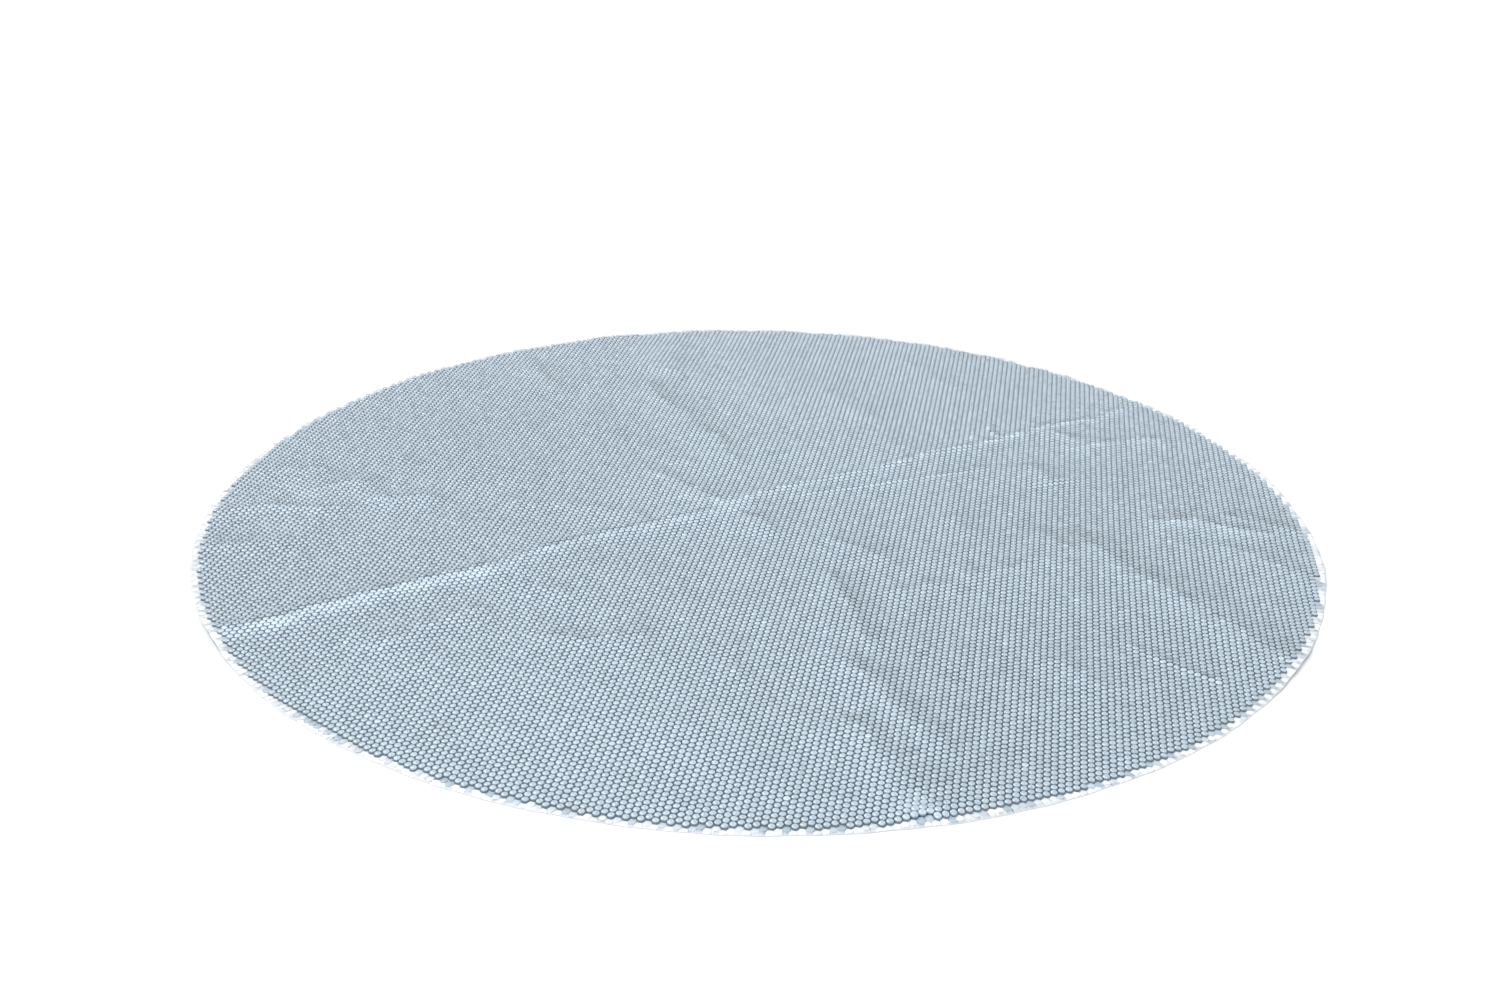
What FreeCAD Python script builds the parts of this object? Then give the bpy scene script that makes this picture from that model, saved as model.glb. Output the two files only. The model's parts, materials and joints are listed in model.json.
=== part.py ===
import FreeCAD, Part
import os

# A round bubble-film cover for a small pool or a hot tub, lying flat with its bubbles up.
# It is one laminated sheet: a flat backing film below, and a film of air bubbles welded on it.
# Three parallel fold lines run along X, so each film is made as four panels that turn on hinges.
# Millimetres. +X runs along the main fold, +Z is up, and the origin is the middle of the underside.

# Driving dimensions
COVER_RADIUS = 1050.0  # the round cut
BACKING_THICKNESS = 1.0  # the flat film, thicker than the real one so that it stays a sound solid
BUBBLE_HEIGHT = 3.8  # from the backing film to the bubbles' tops
RIM_WIDTH = 16.0  # the margin where the cut has let the air out of the bubbles
RIM_HEIGHT = 1.2  # what is left of the bubbles there
NEAR_FOLD_Y = -525.0
MAIN_FOLD_Y = 37.0
FAR_FOLD_Y = 562.0
FOLD_GAP = 1.0  # between the solids of two panels, where the films are creased
CUTTER_MARGIN = 10.0  # how far a cutting block reaches past the cover


def disc(radius, low_z, height):
    """A flat round plate about the cover's middle."""
    return Part.makeCylinder(radius, height, FreeCAD.Vector(0, 0, low_z))


def block(low, high):
    """A box between two corners."""
    size = high - low
    return Part.makeBox(size.x, size.y, size.z, low)


def panel_block(low_y, high_y):
    """A block as wide as the cover and deeper than its films, from one fold line to the next."""
    reach = COVER_RADIUS + CUTTER_MARGIN
    half_gap = FOLD_GAP / 2
    low = FreeCAD.Vector(-reach, low_y + half_gap, -CUTTER_MARGIN)
    high = FreeCAD.Vector(reach, high_y - half_gap, BUBBLE_HEIGHT + CUTTER_MARGIN)
    return block(low, high)


def side_block(side):
    """A block over the cover's left half, where side is -1, or its right half, where it is 1."""
    reach = COVER_RADIUS + CUTTER_MARGIN
    low = FreeCAD.Vector(min(0, side * reach), -reach, -CUTTER_MARGIN)
    high = FreeCAD.Vector(max(0, side * reach), reach, BUBBLE_HEIGHT + CUTTER_MARGIN)
    return block(low, high)


def only_solid(shape):
    """The one solid of a cut shape, checked to be one."""
    if len(shape.Solids) != 1:
        raise ValueError(f"expected one solid, found {len(shape.Solids)}")
    return shape.Solids[0]


def write(name, shape):
    shape.exportStep(f"parts/{name}.step")


def make_panel(number, low_y, high_y):
    """One panel's backing film, bubble film and flat margin."""
    panel = panel_block(low_y, high_y)
    write(f"backing_film_{number}", only_solid(backing.common(panel)))
    write(f"bubble_film_{number}", only_solid(bubbles.common(panel)))
    margin = rim.common(panel)
    if len(margin.Solids) == 1:
        write(f"rim_margin_{number}", only_solid(margin))
        return
    for side_name, side in (("left", -1), ("right", 1)):
        arc = margin.common(side_block(side))
        write(f"rim_margin_{number}_{side_name}", only_solid(arc))


os.makedirs("parts", exist_ok=True)

bubble_radius = COVER_RADIUS - RIM_WIDTH
past_edge = COVER_RADIUS + CUTTER_MARGIN

backing = disc(COVER_RADIUS, 0, BACKING_THICKNESS)
bubbles = disc(bubble_radius, BACKING_THICKNESS, BUBBLE_HEIGHT)
rim_plate = disc(COVER_RADIUS, BACKING_THICKNESS, RIM_HEIGHT)
rim = rim_plate.cut(disc(bubble_radius, BACKING_THICKNESS, RIM_HEIGHT))

make_panel(1, -past_edge, NEAR_FOLD_Y)
make_panel(2, NEAR_FOLD_Y, MAIN_FOLD_Y)
make_panel(3, MAIN_FOLD_Y, FAR_FOLD_Y)
make_panel(4, FAR_FOLD_Y, past_edge)
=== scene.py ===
import json
import math

import bpy
import numpy as np
from mathutils import Matrix, Vector


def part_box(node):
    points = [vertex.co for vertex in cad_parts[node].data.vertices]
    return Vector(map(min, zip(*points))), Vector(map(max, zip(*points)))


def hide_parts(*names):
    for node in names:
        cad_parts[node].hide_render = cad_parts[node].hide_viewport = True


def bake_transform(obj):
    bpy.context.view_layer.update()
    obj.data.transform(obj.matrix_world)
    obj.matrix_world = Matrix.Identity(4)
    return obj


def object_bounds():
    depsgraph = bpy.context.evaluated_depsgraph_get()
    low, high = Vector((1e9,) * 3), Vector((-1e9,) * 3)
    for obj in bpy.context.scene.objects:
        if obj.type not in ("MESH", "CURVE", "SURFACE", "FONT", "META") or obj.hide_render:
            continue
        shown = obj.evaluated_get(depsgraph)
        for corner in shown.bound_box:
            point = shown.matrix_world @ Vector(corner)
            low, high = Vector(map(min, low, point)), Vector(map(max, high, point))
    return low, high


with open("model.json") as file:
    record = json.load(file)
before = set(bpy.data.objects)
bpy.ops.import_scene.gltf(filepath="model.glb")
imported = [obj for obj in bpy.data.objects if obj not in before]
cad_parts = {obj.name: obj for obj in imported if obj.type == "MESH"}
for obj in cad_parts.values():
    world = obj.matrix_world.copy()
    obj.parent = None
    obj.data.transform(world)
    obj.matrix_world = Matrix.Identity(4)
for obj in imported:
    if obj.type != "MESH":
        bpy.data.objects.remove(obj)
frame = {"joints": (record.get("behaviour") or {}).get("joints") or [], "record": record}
cad_low, cad_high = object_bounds()

# The cover's own sizes, in metres
RADIUS = (cad_high.x - cad_low.x) / 2
TOP = cad_high.z  # the bubbles' tops on a flat stretch
PITCH = 0.01225  # from one bubble's middle to the next
FILM = 0.0005  # from the underside to the bubble film where it is welded between the bubbles
RIM_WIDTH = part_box("bubble_film_1")[0].y - cad_low.y
FIELD = RADIUS - RIM_WIDTH  # radius of the field of whole bubbles
MILLIMETRES = 1000  # in a metre

# The plan: the creases are listed as seen from the camera's side, x to the right and y away, in
# units of PLAN_UNIT. PLAN_TURN is the main fold's direction in that plan.
PLAN_TURN = math.radians(32.6)
PLAN_UNIT = 1.042  # metres

joints = {joint["name"]: joint for joint in frame["joints"]}
NEAR_Y, MAIN_Y, FAR_Y = (joints[name]["pos_m"][1] for name in ("near_fold", "main_fold", "far_fold"))


def to_part(x, y):
    """A place in the plan, in the part's frame, in metres."""
    c, s = math.cos(PLAN_TURN), math.sin(PLAN_TURN)
    return PLAN_UNIT * (c * x + s * y), PLAN_UNIT * (c * y - s * x)


# ---------------------------------------------------------------- camera, floor and light

def make_camera():
    """A hand-held camera in front of the cover, looking down by about 25 degrees."""
    distance, height = 2.941, 1.384  # metres
    pitch, heading, roll = 0.43375, 0.00607, 0.0186  # radians
    level = math.cos(pitch)
    forward = Vector((-math.sin(heading) * level, math.cos(heading) * level, -math.sin(pitch)))
    right = Vector((math.cos(heading), math.sin(heading), 0))
    up = right.cross(forward)
    right_rolled = math.cos(roll) * right + math.sin(roll) * up
    up_rolled = math.cos(roll) * up - math.sin(roll) * right
    turn = Matrix.Rotation(-PLAN_TURN, 3, "Z")
    axes = [turn @ v for v in (right_rolled, up_rolled, -forward)]
    place = turn @ Vector((0, -distance, height))
    data = bpy.data.cameras.new("camera")
    data.sensor_width = 36
    data.lens = 40.34
    camera = bpy.data.objects.new("camera", data)
    bpy.context.scene.collection.objects.link(camera)
    rows = [[axes[column][row] for column in range(3)] + [place[row]] for row in range(3)]
    camera.matrix_world = Matrix(rows + [[0, 0, 0, 1]])
    bpy.context.scene.camera = camera


FLOOR_SIZE, FLOOR_LEVEL = 300, -0.0002  # metres; just clear of the film's underside


def make_floor():
    """A plain pale floor that reaches past the edge of every view."""
    bpy.ops.mesh.primitive_plane_add(size=FLOOR_SIZE, location=(0, 0, FLOOR_LEVEL))
    floor = bpy.context.object
    floor.name = "floor"
    material = bpy.data.materials.new("floor")
    material.use_nodes = True
    shader = material.node_tree.nodes["Principled BSDF"]
    shader.inputs["Base Color"].default_value = (0.93, 0.935, 0.94, 1)
    shader.inputs["Roughness"].default_value = 0.9
    shader.inputs["Specular IOR Level"].default_value = 0.1
    floor.data.materials.append(material)


# Each light's name, the side that it shines from (a place in the plan and a height in metres, seen
# from the cover's middle), its strength, and how wide it is in degrees
LIGHTS = [("key", (-0.5, -0.6), 2.3, 0.7, 24), ("back", (-0.8, 1.0), 1.5, 0.85, 11)]


def make_light():
    """An even pale surround, a broad soft light from the camera's left, and one from behind
    that puts a small glint on each bubble."""
    scene = bpy.context.scene
    scene.view_settings.view_transform = "Standard"
    scene.world = scene.world or bpy.data.worlds.new("world")
    scene.world.use_nodes = True
    background = scene.world.node_tree.nodes["Background"]
    background.inputs["Color"].default_value = (0.93, 0.96, 1.0, 1)
    background.inputs["Strength"].default_value = 0.80
    for name, place, height, energy, angle in LIGHTS:
        data = bpy.data.lights.new(name, "SUN")
        data.energy = energy
        data.angle = math.radians(angle)
        light = bpy.data.objects.new(name, data)
        scene.collection.objects.link(light)
        light.location = (*to_part(*place), height)
        light.rotation_euler = (-light.location).to_track_quat("-Z", "Y").to_euler()


# ---------------------------------------------------------------- the sheet's creases

def waves(x, y, wavelength, seed, count=7):
    """Smooth irregular waves, mostly between -1 and 1, of about this wavelength in metres."""
    rng = np.random.default_rng(seed)
    total = np.zeros_like(x)
    for _ in range(count):
        angle, phase = rng.uniform(0, 2 * math.pi, 2)
        k = 2 * math.pi / (wavelength * rng.uniform(0.75, 1.35))
        total += np.sin(k * (x * math.cos(angle) + y * math.sin(angle)) + phase)
    return total / math.sqrt(count)


def smooth(t):
    """An even step from 0 to 1."""
    t = np.clip(t, 0, 1)
    return t * t * (3 - 2 * t)


def place_on_path(x, y, path):
    """Signed distance from the path, left of it positive, and the share of its length passed."""
    lengths = [math.dist(a, b) for a, b in zip(path, path[1:])]
    total, done = sum(lengths), 0.0
    best = np.full(x.shape, np.inf)
    signed = np.zeros_like(x)
    share = np.zeros_like(x)
    for (ax, ay), (bx, by), length in zip(path, path[1:], lengths):
        ux, uy = (bx - ax) / length, (by - ay) / length
        along = (x - ax) * ux + (y - ay) * uy
        held = np.clip(along, 0, length)
        off_x, off_y = x - ax - held * ux, y - ay - held * uy
        distance = np.hypot(off_x, off_y)
        side = np.sign(ux * (y - ay) - uy * (x - ax))
        nearer = distance < best
        best = np.where(nearer, distance, best)
        signed = np.where(nearer, side * distance, signed)
        share = np.where(nearer, (done + held) / total, share)
        done += length
    return signed, share


# Each crease: its path in the plan as it is seen over the floor, its height, its widths left and
# right of the path in millimetres, the share of its length over which it fades at its start and
# at its end, and how much paler (or greyer, if negative) the film is painted along it: a painted
# highlight right of the crest, painted shade where negative, standing partly also for whitened film.
CREASES = {
    "main_near": ([(-0.870, -0.505), (-0.778, -0.448), (-0.667, -0.368), (-0.556, -0.302),
                   (-0.444, -0.236), (-0.380, -0.180)], 8.5, 15, 44, 0.0, 0.20, 0.34),
    "main_far": ([(-0.056, 0.018), (0.000, 0.072), (0.111, 0.139), (0.200, 0.183), (0.344, 0.283),
                  (0.444, 0.333), (0.578, 0.422), (0.711, 0.489), (0.820, 0.585)],
                 5.0, 13, 20, 0.05, 0.0, 0.12),
    "second_far": ([(0.067, 0.061), (0.200, 0.113), (0.300, 0.147), (0.500, 0.233)],
                   2.5, 12, 12, 0.10, 0.20, 0.08),
    "knot": ([(0.480, 0.435), (0.470, 0.400), (0.489, 0.361)], 3.0, 9, 9, 0.2, 0.2, 0.16),
    "cross_up": ([(-0.060, 0.020), (-0.125, 0.085), (-0.185, 0.145), (-0.260, 0.210)],
                 5.5, 48, 24, 0.0, 0.4, 0.0),
    "cross_up_far": ([(-0.110, 0.150), (-0.190, 0.245), (-0.330, 0.350), (-0.400, 0.480)],
                     2.5, 40, 26, 0.1, 0.3, 0.0),
    "fan_left": ([(-0.420, 0.540), (-0.490, 0.680), (-0.530, 0.790)], 6.0, 34, 24, 0.3, 0.3, 0.0),
    "wiggle": ([(-0.025, 0.190), (-0.066, 0.250), (-0.085, 0.333), (-0.135, 0.395), (-0.188, 0.500),
                (-0.236, 0.585), (-0.240, 0.700)], 5.5, 40, 22, 0.15, 0.2, 0.0),
    "wiggle_far": ([(-0.215, 0.690), (-0.200, 0.800), (-0.185, 0.930)], 6.0, 44, 26, 0.15, 0.45, -0.03),
    "cross_down": ([(-0.010, -0.010), (0.008, -0.060), (0.025, -0.130)], 4.5, 18, 32, 0.2, 0.4, 0.0),
    "cross_down_mid": ([(0.115, -0.220), (0.150, -0.350), (0.170, -0.450), (0.215, -0.540)],
                       6.5, 20, 34, 0.2, 0.3, 0.0),
    "cross_right": ([(0.110, -0.105), (0.175, -0.155), (0.240, -0.210)], 4.0, 18, 30, 0.3, 0.3, 0.0),
    "lower": ([(0.180, -0.335), (0.330, -0.280), (0.400, -0.235), (0.520, -0.180), (0.600, -0.130)],
              4.5, 22, 40, 0.15, 0.2, 0.0),
    "right": ([(0.545, -0.045), (0.590, -0.110), (0.642, -0.210), (0.712, -0.310), (0.778, -0.420),
               (0.828, -0.510)], 7.0, 34, 46, 0.15, 0.0, 0.02),
    "right_side": ([(0.490, -0.050), (0.530, -0.110), (0.570, -0.160)], 4.5, 20, 30, 0.3, 0.3, 0.0),
    "short_dark": ([(0.360, 0.010), (0.372, -0.060), (0.378, -0.120)], 4.0, 20, 30, 0.3, 0.3, 0.0),
    "bottom_a": ([(0.090, -0.490), (0.150, -0.560), (0.200, -0.660), (0.245, -0.750), (0.310, -0.830)],
                 6.0, 28, 30, 0.15, 0.25, 0.03),
    "bottom_b": ([(0.130, -0.690), (0.175, -0.790), (0.215, -0.870), (0.245, -0.960)],
                 7.0, 34, 26, 0.15, 0.10, -0.04),
    "bottom_c": ([(0.430, -0.490), (0.500, -0.570), (0.560, -0.650)], 4.0, 26, 34, 0.3, 0.3, 0.0),
    "bottom_d": ([(-0.045, -0.460), (-0.040, -0.560), (-0.030, -0.670)], 3.5, 26, 40, 0.3, 0.3, 0.0),
    "stroke_a": ([(0.570, -0.455), (0.610, -0.500), (0.665, -0.552), (0.725, -0.600)],
                 3.0, 10, 12, 0.4, 0.1, 0.12),
    "lower_left": ([(-0.150, -0.470), (-0.280, -0.505), (-0.370, -0.475)], 4.5, 40, 22, 0.2, 0.2, 0.0),
    "left_low": ([(-0.430, -0.385), (-0.520, -0.465), (-0.620, -0.560)], 4.5, 24, 26, 0.2, 0.3, 0.0),
    "arc": ([(-0.420, -0.310), (-0.350, -0.340), (-0.290, -0.370)], 2.5, 18, 24, 0.3, 0.3, 0.03),
    "left_a": ([(-0.980, -0.060), (-0.905, -0.030), (-0.800, -0.040), (-0.720, -0.025)],
               5.0, 18, 36, 0.0, 0.3, 0.05),
    "left_b": ([(-0.880, 0.020), (-0.778, 0.078), (-0.700, 0.090)], 5.0, 24, 48, 0.3, 0.3, 0.03),
    "left_c": ([(-0.740, -0.005), (-0.656, 0.024), (-0.565, 0.016)], 5.0, 20, 38, 0.3, 0.3, 0.03),
    "left_d": ([(-0.500, -0.020), (-0.440, 0.000), (-0.360, -0.005), (-0.260, -0.025), (-0.190, -0.055)],
               3.0, 24, 38, 0.2, 0.1, 0.0),
    "left_e": ([(-0.990, -0.200), (-0.880, -0.190), (-0.760, -0.150)], 4.0, 22, 34, 0.0, 0.4, 0.0),
    "left_f": ([(-0.960, 0.125), (-0.880, 0.140), (-0.800, 0.125)], 2.5, 24, 34, 0.0, 0.4, 0.0),
    "left_spot": ([(-0.715, 0.185), (-0.700, 0.195), (-0.685, 0.190)], 2.5, 14, 20, 0.3, 0.3, 0.06),
    "rim_right_a": ([(0.690, -0.015), (0.800, -0.005), (0.867, -0.040), (0.940, -0.065)],
                    6.0, 22, 44, 0.2, 0.1, 0.06),
    "rim_right_b": ([(0.810, -0.095), (0.880, -0.155), (0.950, -0.235)], 4.5, 26, 40, 0.2, 0.0, 0.0),
    "rim_right_c": ([(0.840, 0.020), (0.900, 0.000), (0.970, -0.040)], 5.0, 22, 20, 0.2, 0.0, 0.0),
    "upper_right": ([(0.600, 0.310), (0.711, 0.355), (0.800, 0.375), (0.860, 0.345)],
                    5.0, 22, 40, 0.2, 0.2, 0.03),
    "short_mid": ([(0.565, 0.130), (0.545, 0.190), (0.515, 0.250)], 6.0, 28, 28, 0.2, 0.3, 0.0),
    "upper_mid": ([(0.235, 0.430), (0.200, 0.510), (0.155, 0.580), (0.100, 0.620)],
                  3.0, 34, 36, 0.2, 0.3, -0.04),
    "upper_fan": ([(0.470, 0.570), (0.370, 0.720), (0.280, 0.870)], 2.0, 26, 30, 0.2, 0.2, -0.03),
    "upper_fan_low": ([(0.390, 0.420), (0.300, 0.520)], 1.5, 24, 24, 0.3, 0.3, 0.0),
    "far_right_dark": ([(0.665, 0.345), (0.620, 0.385), (0.585, 0.420)], 4.0, 22, 18, 0.3, 0.3, 0.0),
    "main_middle": ([(-0.450, -0.240), (-0.400, -0.196), (-0.311, -0.133), (-0.200, -0.072),
                     (-0.056, 0.011)], 7.0, 15, 36, 0.2, 0.20, 0.10),
}

# Waves of the cut edge: direction in the plan, in degrees, half-width in degrees, and height
# in millimetres.
RIM_WAVES = [
    (48, 3, 5), (57, 2.5, 4), (66, 3, 6), (76, 3.5, 5), (88, 3, 4), (99, 3.5, 5), (112, 4, 5),
    (126, 3, 4), (140, 4, 4), (196, 4, 2.5), (208, 3, 1.5), (330, 4, 1.5), (350, 5, 3.5),
    (10, 5, 4), (28, 3, 5),
]

# Satin film looks paler where the sheet leans towards the light and greyer where it leans away.
# The film's colour carries a part of that, per unit of slope from or towards SHEEN_SIDE in the
# plan, and up to MOST_GREY and MOST_PALE of slope.
SHEEN_GREY, SHEEN_PALE = 1.3, 0.85
MOST_GREY, MOST_PALE = -0.28, 0.24
SHEEN_SIDE = (-0.45, -0.90)

# Broad paler and greyer areas between the creases, painted light and shade of broad undulations
# that the sheet's shape lacks, and some wear: middle in the plan, radius in plan units, and
# change of the film's tone.
SHADE_AND_WEAR_PATCHES = [
    (0.62, -0.52, 0.34, -0.05), (0.36, -0.60, 0.22, -0.025), (0.85, -0.05, 0.30, -0.05),
    (0.42, -0.06, 0.22, -0.03), (-0.50, 0.35, 0.30, -0.05), (-0.80, -0.35, 0.22, -0.02),
    (-0.40, -0.75, 0.32, 0.065), (-0.12, -0.90, 0.20, 0.05), (0.05, 0.80, 0.40, 0.03),
    (0.10, 0.40, 0.25, 0.02), (-0.056, 0.005, 0.035, 0.22), (-0.10, 0.17, 0.10, 0.05),
    (-0.75, -0.02, 0.14, 0.05), (0.80, -0.04, 0.10, 0.05), (0.65, 0.15, 0.25, -0.02),
    (-0.20, -0.05, 0.12, 0.03),
]

# How the creases lift the sheet, in millimetres unless it says otherwise
LONG_WAVES, SHORT_WAVES = (0.7, 0.33), (0.4, 0.15)  # height, and wavelength in metres
RIM_FADE = 60  # from the cut edge inwards, over which these waves rise
RIM_WAVE_REACH = 35  # from the cut edge inwards, over which the edge's own waves fade
CREST_SHIFT = 2.1  # how much nearer a crest stands than the floor seen behind it, per unit of height
CREASE_REACH = 5  # in widths
WOBBLE = 2.0  # about how far a crease wanders off its path
ROUNDING = 45  # a crest is round over the square of its crease's width divided by this
SHARP_WIDTH, SHARP_HEIGHT = 9, 9  # where a crease is sharp, and how high a fully sharp one is
HIGHEST = 9.6


def crease_field(x, y):
    """Height in millimetres of the sheet as the creases alone would lift it, how sharply it is
    creased, and the highlight and shade painted along it (partly also whitened film)."""
    to_rim = (RADIUS - np.hypot(x, y)) * MILLIMETRES
    height = np.zeros_like(x)
    for seed, (rise, wavelength) in enumerate((LONG_WAVES, SHORT_WAVES), 3):
        height += rise * (1 + waves(x, y, wavelength, seed))
    height *= smooth(to_rim / RIM_FADE)
    sharp = np.zeros_like(x)
    crease_light = np.zeros_like(x)
    wobble = waves(x, y, 0.05, 5)
    for number, (path, crest, left, right, fade_in, fade_out, painted_light) in enumerate(CREASES.values()):
        shift = CREST_SHIFT * crest / MILLIMETRES / PLAN_UNIT
        path = [to_part(px, py - shift) for px, py in path]
        reach = CREASE_REACH * max(left, right) / MILLIMETRES
        xs, ys = [p[0] for p in path], [p[1] for p in path]
        near = ((x > min(xs) - reach) & (x < max(xs) + reach)
                & (y > min(ys) - reach) & (y < max(ys) + reach))
        distance, share = place_on_path(x[near], y[near], path)
        distance = distance * MILLIMETRES + WOBBLE * wobble[near]
        width = np.where(distance > 0, left, right)
        rounding = min(left, right) ** 2 / ROUNDING
        tent = np.exp(-(np.sqrt(distance * distance + rounding ** 2) - rounding) / width)
        strength = np.ones_like(share)
        if fade_in:
            strength *= smooth(share / fade_in)
        if fade_out:
            strength *= smooth((1 - share) / fade_out)
        strength *= 0.95 + 0.12 * waves(x[near], y[near], 0.09, 10 + number)  # uneven along it
        height[near] = np.maximum(height[near], 0) + crest * tent * strength
        fold = np.exp(-(distance / SHARP_WIDTH) ** 2) * strength * crest / SHARP_HEIGHT
        sharp[near] = np.maximum(sharp[near], fold)
        # painted highlight a little to the right of the crest, painted shade where the crease's value is
        # negative; it stands partly also for whitened film
        crease_light[near] += painted_light * np.exp(-((distance + 0.4 * right) / (0.5 * right)) ** 2) * strength
    angle = np.degrees(np.arctan2(y, x)) + math.degrees(PLAN_TURN)
    rim = np.exp(-np.maximum(to_rim, 0) / RIM_WAVE_REACH)
    for middle, half_width, crest in RIM_WAVES:
        turn = (angle - middle + 180) % 360 - 180
        height += crest * np.exp(-(turn / half_width) ** 2) * rim
    return np.clip(height, 0, HIGHEST), np.clip(sharp, 0, 1), crease_light


GRID_STEP = 0.002  # the sheet's shape is worked out on a grid and looked up between its points
GRID_HALF = 0.53 * (cad_high.x - cad_low.x)  # the grid reaches a little past the cover
FOLD_GAP = 0.6  # millimetres that stay free between two panels that lie on each other
# What is left there for both panels' creases, in millimetres
FOLD_ROOM = 2 * MILLIMETRES * (joints["near_fold"]["pos_m"][2] - TOP) - FOLD_GAP


def look_up(layer, x, y):
    """A grid layer's values at any places, weighted between the four nearest grid points."""
    column = np.clip((x + GRID_HALF) / GRID_STEP, 0, layer.shape[1] - 1.001)
    row = np.clip((y + GRID_HALF) / GRID_STEP, 0, layer.shape[0] - 1.001)
    i, j = row.astype(int), column.astype(int)
    u, v = row - i, column - j
    low = layer[i, j] * (1 - v) + layer[i, j + 1] * v
    high = layer[i + 1, j] * (1 - v) + layer[i + 1, j + 1] * v
    return low * (1 - u) + high * u


def make_sheet():
    """The creased sheet as grid layers: height in metres, its two slopes, sharpness, and tone, which
    carries painted sheen, highlights and shade.
    """
    places = np.arange(-GRID_HALF, GRID_HALF + GRID_STEP, GRID_STEP)
    x, y = np.meshgrid(places, places)
    free, sharp, crease_light = crease_field(x, y)
    over_y = 2 * np.where(y < MAIN_Y, NEAR_Y, FAR_Y) - y  # where the fold brings the other panel
    over = np.where(np.hypot(x, over_y) < RADIUS, look_up(free, x, over_y), 0)
    height = free * FOLD_ROOM / np.maximum(free + over, FOLD_ROOM) / MILLIMETRES
    slope_y, slope_x = np.gradient(height, GRID_STEP)
    lean_y, lean_x = np.gradient(free / MILLIMETRES, GRID_STEP)
    # painted sheen and painted shade: paler where the sheet leans towards the light, greyer where it
    # leans away
    side_x, side_y = to_part(*SHEEN_SIDE)
    lean = -(lean_x * side_x + lean_y * side_y) / math.hypot(side_x, side_y)
    sheen = np.where(lean < 0, SHEEN_GREY, SHEEN_PALE)
    tone = 1 + sheen * np.clip(lean, MOST_GREY, MOST_PALE) + crease_light
    # painted light and shade of broad undulations, and some wear, in soft round patches
    for px, py, radius, change in SHADE_AND_WEAR_PATCHES:
        middle_x, middle_y = to_part(px, py)
        distance = np.hypot(x - middle_x, y - middle_y) / (radius * PLAN_UNIT)
        tone += change * np.exp(-distance ** 2)
    return {"height": height, "slope_x": slope_x, "slope_y": slope_y, "sharp": sharp, "tone": tone}


# ---------------------------------------------------------------- the bubble lattice

LATTICE_TURN = math.radians(-11.9)  # direction of one row of bubbles
LATTICE_START = (0.004, 0.002)  # the middle of the bubble (0, 0)
# Corners and edge middles of a hexagonal cell, in sixths of the lattice's two steps
EDGE = [
    (3, 0), (2, 2), (0, 3), (-2, 4), (-3, 3), (-4, 2),
    (-3, 0), (-2, -2), (0, -3), (2, -4), (3, -3), (4, -2),
]
SEGMENTS = len(EDGE)
SIXTHS = 6
KEY_OFFSET, KEY_STEP = 100000, 1000000  # an edge point's two numbers make one key

LEAST_INSIDE = 0.3  # of the pitch, that a cell's middle lies inside the cut

BUBBLE_RADIUS = 0.0061
BUBBLE_HEIGHT = TOP - FILM
# Rings of a bubble, from its foot to its crown: radius and height as shares of the whole, and
# how much of the painted shade on the walls (the film's darker colour) shows there
RINGS = [(1.0, 0.0, 1.0), (0.95, 0.62, 0.9), (0.74, 1.0, 0.0)]
CROWN = 0.94  # the crown sinks a little inside the topmost ring
WEB_SHADE, CROWN_SHADE = 0.15, 0.42  # the same for the flat web and the crown

# How much the bubbles differ from each other, as shares of the whole
RADIUS_SPREAD, HEIGHT_SPREAD, LOWEST = 0.012, 0.02, 0.94
CRUSHED = 0.35  # a bubble on a sharp crease loses up to this much of its height
LEAN, DENT, RIM_DENT = 0.06, 0.012, 0.10  # tilt, and unevenness in the field and in the margin
SPOTS, CROWN_SPREAD, TONE_SPREAD = 0.22, 0.06, 0.013  # in shade along the pale ring, and in tone
# Some bubbles carry a painted glint: how much paler they are, their share, and what a sharp crease adds
GLINT, GLINT_SHARE, GLINT_ON_CREASE = 0.22, 0.003, 0.16
# A few bubbles at the rim have swollen: middle in the plan, reach in metres, and how much higher
# and wider they are
SWOLLEN, SWOLLEN_REACH = (0.224, -0.950), 0.022
SWELL_HIGHER, SWELL_WIDER = 0.4, 0.16
# The margin's bubbles are flat: their height next to the bubble field, what they lose towards the
# cut edge, and how fast and how unevenly their blue fades there
RIM_HEIGHT, RIM_LOSS, BLUE_FADE, BLUE_SPREAD = 0.30, 0.25, 2.2, 0.3
RIM_WEB_SHADE, RIM_TONE = 0.2, 0.4  # its web's shade, and how much of the sheet's tone it takes
# Unevenness of the shears' cut: depth in metres, waves round the whole edge, and phase
SHEAR_WAVES = [(0.0007, 17, 1), (0.0006, 41, 2), (0.0005, 97, 0)]
CUT_INSET, RING_INSET = 0.0012, 0.0006  # metres: of the cut in the radius, of the rings in the cut


def lattice_place(i, j):
    """Where the lattice's point (i, j) is, in the part's frame. Its two steps are 60 degrees apart."""
    a, b = LATTICE_TURN, LATTICE_TURN + math.pi / 3
    x = PITCH * (i * math.cos(a) + j * math.cos(b)) + LATTICE_START[0]
    y = PITCH * (i * math.sin(a) + j * math.sin(b)) + LATTICE_START[1]
    return x, y


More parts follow.
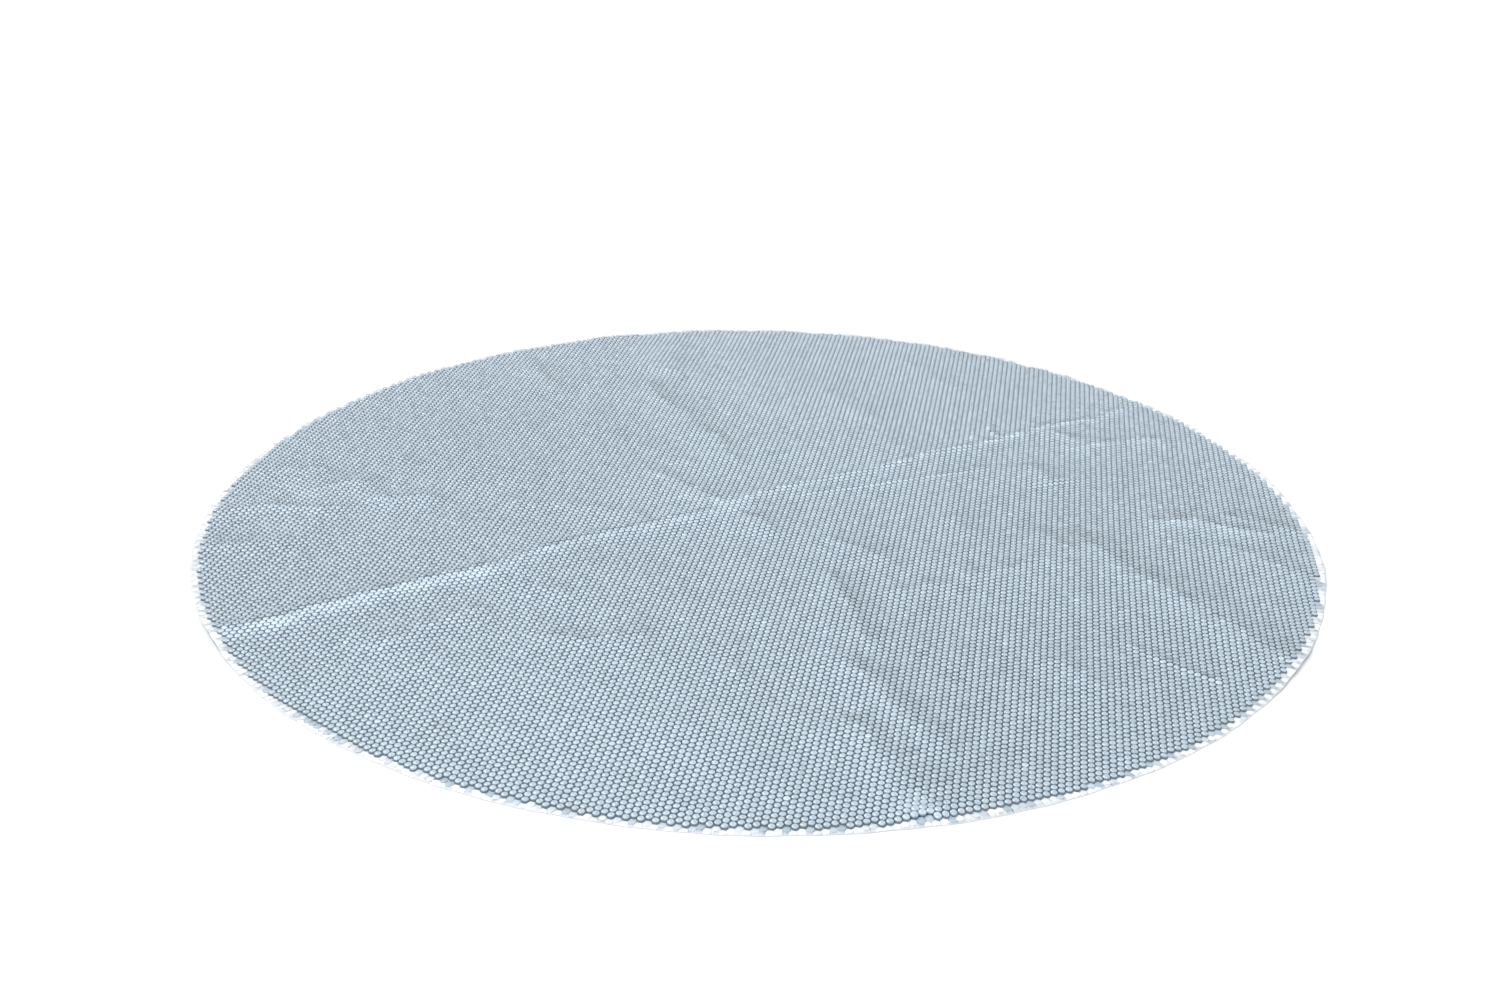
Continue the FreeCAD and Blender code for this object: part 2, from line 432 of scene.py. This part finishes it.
def make_lattice():
    """Every cell inside the cut, the cells' shared edge points, and the places of both."""
    reach = int(1.3 * RADIUS / PITCH)
    steps = np.arange(-reach, reach + 1)
    i, j = (grid.ravel() for grid in np.meshgrid(steps, steps))
    x, y = lattice_place(i, j)
    inside = np.hypot(x, y) < RADIUS - LEAST_INSIDE * PITCH
    i, j, x, y = i[inside], j[inside], x[inside], y[inside]
    edge = np.array(EDGE)
    key_i = SIXTHS * i[:, None] + edge[:, 0]
    key_j = SIXTHS * j[:, None] + edge[:, 1]
    keys = (key_i.astype(np.int64) + KEY_OFFSET) * KEY_STEP + key_j + KEY_OFFSET
    unique, index, count = np.unique(keys.ravel(), return_inverse=True, return_counts=True)
    edge_i = unique // KEY_STEP - KEY_OFFSET
    edge_j = unique % KEY_STEP - KEY_OFFSET
    edge_x, edge_y = lattice_place(edge_i / SIXTHS, edge_j / SIXTHS)
    half = SIXTHS // 2  # an edge's middle lies at half steps, and a corner doesn't
    corner = (edge_i % half != 0) | (edge_j % half != 0)
    cut = count < np.where(corner, 3, 2)  # a point that some missing cell would share
    return x, y, index.reshape(keys.shape), edge_x, edge_y, cut


def cut_radius(angle):
    """The cut edge is nearly round, with the small unevenness of shears."""
    wander = sum(depth * np.sin(count * angle + phase) for depth, count, phase in SHEAR_WAVES)
    return RADIUS - CUT_INSET + wander


def inside_cut(x, y, gap):
    """Places outside the cut are moved in to it, or to a gap inside it."""
    reach = np.maximum(np.hypot(x, y), 1e-9)
    scale = np.minimum(1, (cut_radius(np.arctan2(y, x)) - gap) / reach)
    return x * scale, y * scale


def displace(sheet, x, y, local):
    """Points at height local over the backing film's underside, carried onto the creased sheet."""
    layers = (sheet[key] for key in ("height", "slope_x", "slope_y"))
    height, slope_x, slope_y = (look_up(layer, x, y) for layer in layers)
    size = np.sqrt(1 + slope_x ** 2 + slope_y ** 2)
    return np.stack([x - local * slope_x / size, y - local * slope_y / size, height + local / size], -1)


def bubble_sizes(x, y, rim, outside, sharp, rng):
    """Each bubble's radius and height, and whether a glint is painted on it."""
    cells = len(x)
    radius = BUBBLE_RADIUS * (1 + RADIUS_SPREAD * rng.standard_normal(cells))
    height = BUBBLE_HEIGHT * (1 + HEIGHT_SPREAD * rng.standard_normal(cells)).clip(LOWEST, 1.0)
    height *= 1 - CRUSHED * sharp * rng.random(cells)
    glint = rng.random(cells) < GLINT_SHARE + GLINT_ON_CREASE * sharp
    swollen_x, swollen_y = to_part(*SWOLLEN)
    swell = np.exp(-((x - swollen_x) ** 2 + (y - swollen_y) ** 2) / SWOLLEN_REACH ** 2)
    height *= 1 + SWELL_HIGHER * swell
    radius *= 1 + SWELL_WIDER * swell
    flat = RIM_HEIGHT - RIM_LOSS * outside[rim]
    height[rim] = BUBBLE_HEIGHT * flat * rng.uniform(0.6, 1.3, rim.sum())
    return radius, height, glint


def bubble_rings(x, y, rim, radius, height, rng):
    """The places and levels of the points of each bubble's rings, before the sheet is creased, as
    arrays of cells by rings by points."""
    radius, height, x, y = (values[:, None, None] for values in (radius, height, x, y))
    lean_x, lean_y = LEAN * rng.standard_normal((2, len(x), 1, 1))
    angles = LATTICE_TURN + np.arange(SEGMENTS) * 2 * math.pi / SEGMENTS
    share, level, _ = (np.array(values)[:, None] for values in zip(*RINGS))
    depth = np.where(rim, RIM_DENT, DENT)[:, None, None]
    dent = 1 + depth * rng.standard_normal((len(x), len(RINGS), SEGMENTS))
    ring_x = share * np.cos(angles) * radius * dent
    ring_y = share * np.sin(angles) * radius * dent
    tilt = 1 + (lean_x * ring_x + lean_y * ring_y) / BUBBLE_RADIUS
    return ring_x + x, ring_y + y, FILM + height * level * tilt


def bubble_shades(rim, outside, rng):
    """How much of the painted shade of the bubbles' walls each point of the rings and each crown shows;
    in the margin, how much of its own blue.
    """
    cells = len(rim)
    # painted shade: dark down the walls, none on the topmost ring, some on the crown
    wall = np.array([shade for _, _, shade in RINGS])[:, None]
    ring_shade = np.zeros((cells, len(RINGS), SEGMENTS)) + wall
    # painted reflections break a bubble's pale ring into brighter and duller spots
    ring_shade[:, -1] += np.abs(SPOTS * rng.standard_normal((cells, SEGMENTS)))
    crown_shade = np.clip(CROWN_SHADE + CROWN_SPREAD * rng.standard_normal(cells), 0, 1)
    # the margin is blue next to the bubble field and whitish at the cut edge
    blue = np.clip(1 - BLUE_FADE * outside + BLUE_SPREAD * rng.standard_normal(cells), 0, 1)[rim]
    ring_shade[rim] = blue[:, None, None]
    crown_shade[rim] = blue
    return ring_shade, crown_shade


def make_surface():
    """All points of the bubble film and of the backing film, on the creased sheet."""
    x, y, edges, edge_x, edge_y, cut = make_lattice()
    sheet = make_sheet()
    rng = np.random.default_rng(11)
    from_middle = np.hypot(x, y)
    rim = from_middle > FIELD
    outside = np.clip((from_middle - FIELD) / RIM_WIDTH, 0, 1)
    sharp = look_up(sheet["sharp"], x, y)
    radius, height, glint = bubble_sizes(x, y, rim, outside, sharp, rng)
    ring_x, ring_y, ring_level = bubble_rings(x, y, rim, radius, height, rng)
    ring_shade, crown_shade = bubble_shades(rim, outside, rng)
    ring_x, ring_y = inside_cut(ring_x, ring_y, RING_INSET)
    limit = cut_radius(np.arctan2(edge_y, edge_x))
    scale = np.where(cut, limit / np.hypot(edge_x, edge_y), 1)
    edge_x, edge_y = inside_cut(edge_x * scale, edge_y * scale, 0)
    web = np.full_like(edge_x, FILM)
    rings = displace(sheet, ring_x.ravel(), ring_y.ravel(), ring_level.ravel())
    # the sheet's painted sheen, highlights and shade, and a random tone for each bubble
    tone = look_up(sheet["tone"], x, y) + TONE_SPREAD * rng.standard_normal(len(x))
    return {
        "x": x, "y": y, "rim": rim, "edges": edges, "cut": cut,
        "edge_top": displace(sheet, edge_x, edge_y, web),
        "edge_low": displace(sheet, edge_x, edge_y, 0.4 * web),
        "rings": rings.reshape(ring_x.shape + (3,)),
        "crown": displace(sheet, x, y, FILM + CROWN * height),
        "foot": displace(sheet, x, y, np.zeros_like(x)),
        "tone": tone + GLINT * glint,
        "edge_tone": look_up(sheet["tone"], edge_x, edge_y),
        "ring_shade": ring_shade,
        "crown_shade": crown_shade,
    }


# ---------------------------------------------------------------- meshes

def mesh_object(name, points, quads, triangles, attributes):
    """A smooth-shaded mesh from arrays of points and faces, with a value per point for each
    attribute. Its "laid" attribute keeps the places of the points as the cover lies flat."""
    mesh = bpy.data.meshes.new(name)
    loops = np.concatenate([quads.ravel(), triangles.ravel()]).astype(np.int32)
    sizes = np.concatenate([np.full(len(quads), 4), np.full(len(triangles), 3)]).astype(np.int32)
    starts = np.concatenate([[0], np.cumsum(sizes)[:-1]]).astype(np.int32)
    mesh.vertices.add(len(points))
    mesh.vertices.foreach_set("co", points.astype(np.float32).ravel())
    mesh.loops.add(len(loops))
    mesh.loops.foreach_set("vertex_index", loops)
    mesh.polygons.add(len(sizes))
    mesh.polygons.foreach_set("loop_start", starts)
    mesh.polygons.foreach_set("loop_total", sizes)
    mesh.polygons.foreach_set("use_smooth", np.ones(len(sizes), bool))
    mesh.update(calc_edges=True)
    for key, values in attributes.items():
        layer = mesh.attributes.new(key, "FLOAT", "POINT")
        layer.data.foreach_set("value", values.astype(np.float32))
    laid = mesh.attributes.new("laid", "FLOAT_VECTOR", "POINT")
    laid.data.foreach_set("vector", points.astype(np.float32).ravel())
    piece = bpy.data.objects.new(name, mesh)
    bpy.context.scene.collection.objects.link(piece)
    return piece


def fans(outlines, middles):
    """Triangles from each outline to its middle point."""
    corners = np.repeat(middles[:, None], SEGMENTS, 1)
    return np.stack([outlines, np.roll(outlines, -1, 1), corners], -1).reshape(-1, 3)


def bubble_piece(name, surface, chosen):
    """The bubble film over the chosen cells: a flat web between the bubbles, and a bubble in each."""
    used, local = np.unique(surface["edges"][chosen].ravel(), return_inverse=True)
    cells, layers = len(chosen), len(RINGS)
    web = local.reshape(cells, SEGMENTS)
    ring_points = cells * layers * SEGMENTS
    rings = len(used) + np.arange(ring_points).reshape(cells, layers, SEGMENTS)
    crowns = len(used) + ring_points + np.arange(cells)
    outlines = [web] + [rings[:, layer] for layer in range(layers)]
    quads = []
    for outer, inner in zip(outlines, outlines[1:]):
        corners = [outer, np.roll(outer, -1, 1), np.roll(inner, -1, 1), inner]
        quads.append(np.stack(corners, -1).reshape(-1, 4))
    skirt = np.zeros((0, 3))
    web_shade = np.full(len(used), WEB_SHADE)
    cell_tone = surface["tone"][chosen]
    if surface["rim"][chosen].all():
        # the cut edge is closed down to the backing film
        skirt = surface["edge_low"][used]
        low = crowns[-1] + 1 + web
        cut = surface["cut"][used]
        along = cut[web] & np.roll(cut[web], -1, 1)
        corners = [web, low, np.roll(low, -1, 1), np.roll(web, -1, 1)]
        quads.append(np.stack(corners, -1)[along])
        web_shade = RIM_WEB_SHADE * ~cut
        cell_tone = 1 + RIM_TONE * (cell_tone - 1)
    points = [surface["edge_top"][used], surface["rings"][chosen].reshape(-1, 3),
              surface["crown"][chosen], skirt]
    shade = [web_shade, surface["ring_shade"][chosen].ravel(),
             surface["crown_shade"][chosen], np.zeros(len(skirt))]
    tone = [surface["edge_tone"][used], np.repeat(cell_tone, layers * SEGMENTS),
            cell_tone, np.ones(len(skirt))]
    attributes = {"shade": np.concatenate(shade), "tone": np.concatenate(tone)}
    tops = fans(rings[:, -1], crowns)
    return mesh_object(name, np.concatenate(points), np.concatenate(quads), tops, attributes)


def backing_piece(name, surface, chosen):
    """The flat film under the chosen cells, in two tones: round the cells and at their middles."""
    used, local = np.unique(surface["edges"][chosen].ravel(), return_inverse=True)
    web = local.reshape(len(chosen), SEGMENTS)
    middles = len(used) + np.arange(len(chosen))
    points = np.concatenate([surface["edge_low"][used], surface["foot"][chosen]])
    underside = fans(web, middles)[:, [1, 0, 2]]  # turned over, to face the floor
    shade = np.concatenate([np.ones(len(used)), np.zeros(len(chosen))])
    attributes = {"shade": shade, "tone": np.ones(len(shade))}
    return mesh_object(name, points, np.zeros((0, 4), int), underside, attributes)


# ---------------------------------------------------------------- materials

# Each film: its colour, its darker colour (painted shade on the bubbles' walls, web and crowns;
# the margin's own blue next to the bubble field; the backing's between the cells), its roughness,
# its coat, and how much its tone varies in soft clouds
FILMS = {
    "bubble_film": ((0.665, 0.785, 0.87), (0.105, 0.15, 0.185), 0.24, 0.60, 0.03),
    "rim_margin": ((0.96, 0.965, 0.97), (0.44, 0.53, 0.60), 0.40, 0.1, 0.02),
    "backing_film": ((0.46, 0.53, 0.60), (0.38, 0.44, 0.50), 0.40, 0.2, 0.04),
}
# Noise in the films: scale per metre, and detail
CLOUDS, HAZE, GRAIN = (5, 3), (180, 2), (420, 2)
HAZE_SPREAD = 0.08  # how much the haze changes the roughness
GRAIN_STRENGTH, GRAIN_DEPTH = 0.25, 0.0004  # its share, and metres
COAT_ROUGHNESS, POLYETHYLENE_IOR = 0.15, 1.51


def film_material(name, colour, dark_colour, roughness, coat, tone_spread):
    """Polyethylene film: darker where its shade says (painted shade on the bubble film's walls, web
    and crowns; the margin's own blue), changed by its tone (painted sheen, highlights and shade,
    and small changes from bubble to bubble) and in soft clouds, and the satin unevenness of drawn
    film."""
    material = bpy.data.materials.new(name)
    material.use_nodes = True
    nodes, links = material.node_tree.nodes, material.node_tree.links
    shader = nodes["Principled BSDF"]

    def attribute(key, output="Fac"):
        node = nodes.new("ShaderNodeAttribute")
        node.attribute_name = key
        return node.outputs[output]

    def noise(scale, detail):
        node = nodes.new("ShaderNodeTexNoise")
        links.new(attribute("laid", "Vector"), node.inputs["Vector"])
        node.inputs["Scale"].default_value = scale
        node.inputs["Detail"].default_value = detail
        return node.outputs["Fac"]

    def around(value, middle, spread):
        """A noise between 0 and 1, brought to the middle value and a spread on each side of it."""
        node = nodes.new("ShaderNodeMapRange")
        links.new(value, node.inputs["Value"])
        node.inputs["To Min"].default_value = middle - spread
        node.inputs["To Max"].default_value = middle + spread
        return node.outputs["Result"]

    def multiplied(a, b):
        node = nodes.new("ShaderNodeMath")
        node.operation = "MULTIPLY"
        links.new(a, node.inputs[0])
        links.new(b, node.inputs[1])
        return node.outputs[0]

    # painted shade: the shade attribute mixes in the darker colour
    mix = nodes.new("ShaderNodeMix")
    mix.data_type = "RGBA"
    links.new(attribute("shade"), mix.inputs["Factor"])
    mix.inputs["A"].default_value = (*colour, 1)
    mix.inputs["B"].default_value = (*dark_colour, 1)
    # the tone attribute carries painted sheen, highlights and shade with each bubble's random tone
    value = multiplied(around(noise(*CLOUDS), 1, tone_spread), attribute("tone"))
    tint = nodes.new("ShaderNodeHueSaturation")
    links.new(mix.outputs["Result"], tint.inputs["Color"])
    links.new(value, tint.inputs["Value"])
    links.new(tint.outputs["Color"], shader.inputs["Base Color"])
    links.new(around(noise(*HAZE), roughness, HAZE_SPREAD), shader.inputs["Roughness"])
    shader.inputs["Coat Weight"].default_value = coat
    shader.inputs["Coat Roughness"].default_value = COAT_ROUGHNESS
    shader.inputs["IOR"].default_value = POLYETHYLENE_IOR
    bump = nodes.new("ShaderNodeBump")
    bump.inputs["Strength"].default_value = GRAIN_STRENGTH
    bump.inputs["Distance"].default_value = GRAIN_DEPTH
    links.new(noise(*GRAIN), bump.inputs["Height"])
    links.new(bump.outputs["Normal"], shader.inputs["Normal"])
    return material


# ---------------------------------------------------------------- the pieces

# Each zone of the cover crosses one fold: its joint, its two bodies, and where it starts and ends
NEAR_CUT, FAR_CUT = (NEAR_Y + MAIN_Y) / 2, (MAIN_Y + FAR_Y) / 2
ZONES = {
    "near": ("near_fold", "near_flap", "near_half", -2 * RADIUS, NEAR_CUT),
    "middle": ("main_fold", "near_half", "far_half", NEAR_CUT, FAR_CUT),
    "far": ("far_fold", "far_half", "far_flap", FAR_CUT, 2 * RADIUS),
}
MOST_BUBBLES = 2300  # in one piece


def nodes_between(slot, low_body, high_body):
    """The frame's nodes of one film on two bodies."""
    members = frame["record"]["behaviour"]["bodies"]
    return [node for body in (low_body, high_body) for node in members[body] if node.startswith(slot)]


def hang(piece, low_body, high_body, slot, films):
    """The piece's transform is baked into its points. It gets its film's material and stands for
    that film's nodes on the two bodies, which are hidden."""
    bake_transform(piece)
    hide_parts(*nodes_between(slot, low_body, high_body))
    piece.data.materials.append(films[slot])


def make_cover():
    """The cover's pieces, zone by zone: bubbles in columns from left to right, margin and backing."""
    surface = make_surface()
    films = {slot: film_material(slot, *look) for slot, look in FILMS.items()}
    for zone, (fold, low_body, high_body, low_y, high_y) in ZONES.items():
        in_zone = (surface["y"] >= low_y) & (surface["y"] < high_y)
        bubbles = np.flatnonzero(in_zone & ~surface["rim"])
        bubbles = bubbles[np.argsort(surface["x"][bubbles], kind="stable")]
        columns = np.array_split(bubbles, math.ceil(len(bubbles) / MOST_BUBBLES))
        for number, chosen in enumerate(columns, 1):
            piece = bubble_piece(f"bubbles_{zone}_{number}", surface, chosen)
            hang(piece, low_body, high_body, "bubble_film", films)
        piece = bubble_piece(f"margin_{zone}", surface, np.flatnonzero(in_zone & surface["rim"]))
        hang(piece, low_body, high_body, "rim_margin", films)
        sheet = backing_piece(f"backing_{zone}", surface, np.flatnonzero(in_zone))
        hang(sheet, low_body, high_body, "backing_film", films)


make_camera()
make_floor()
make_light()
make_cover()
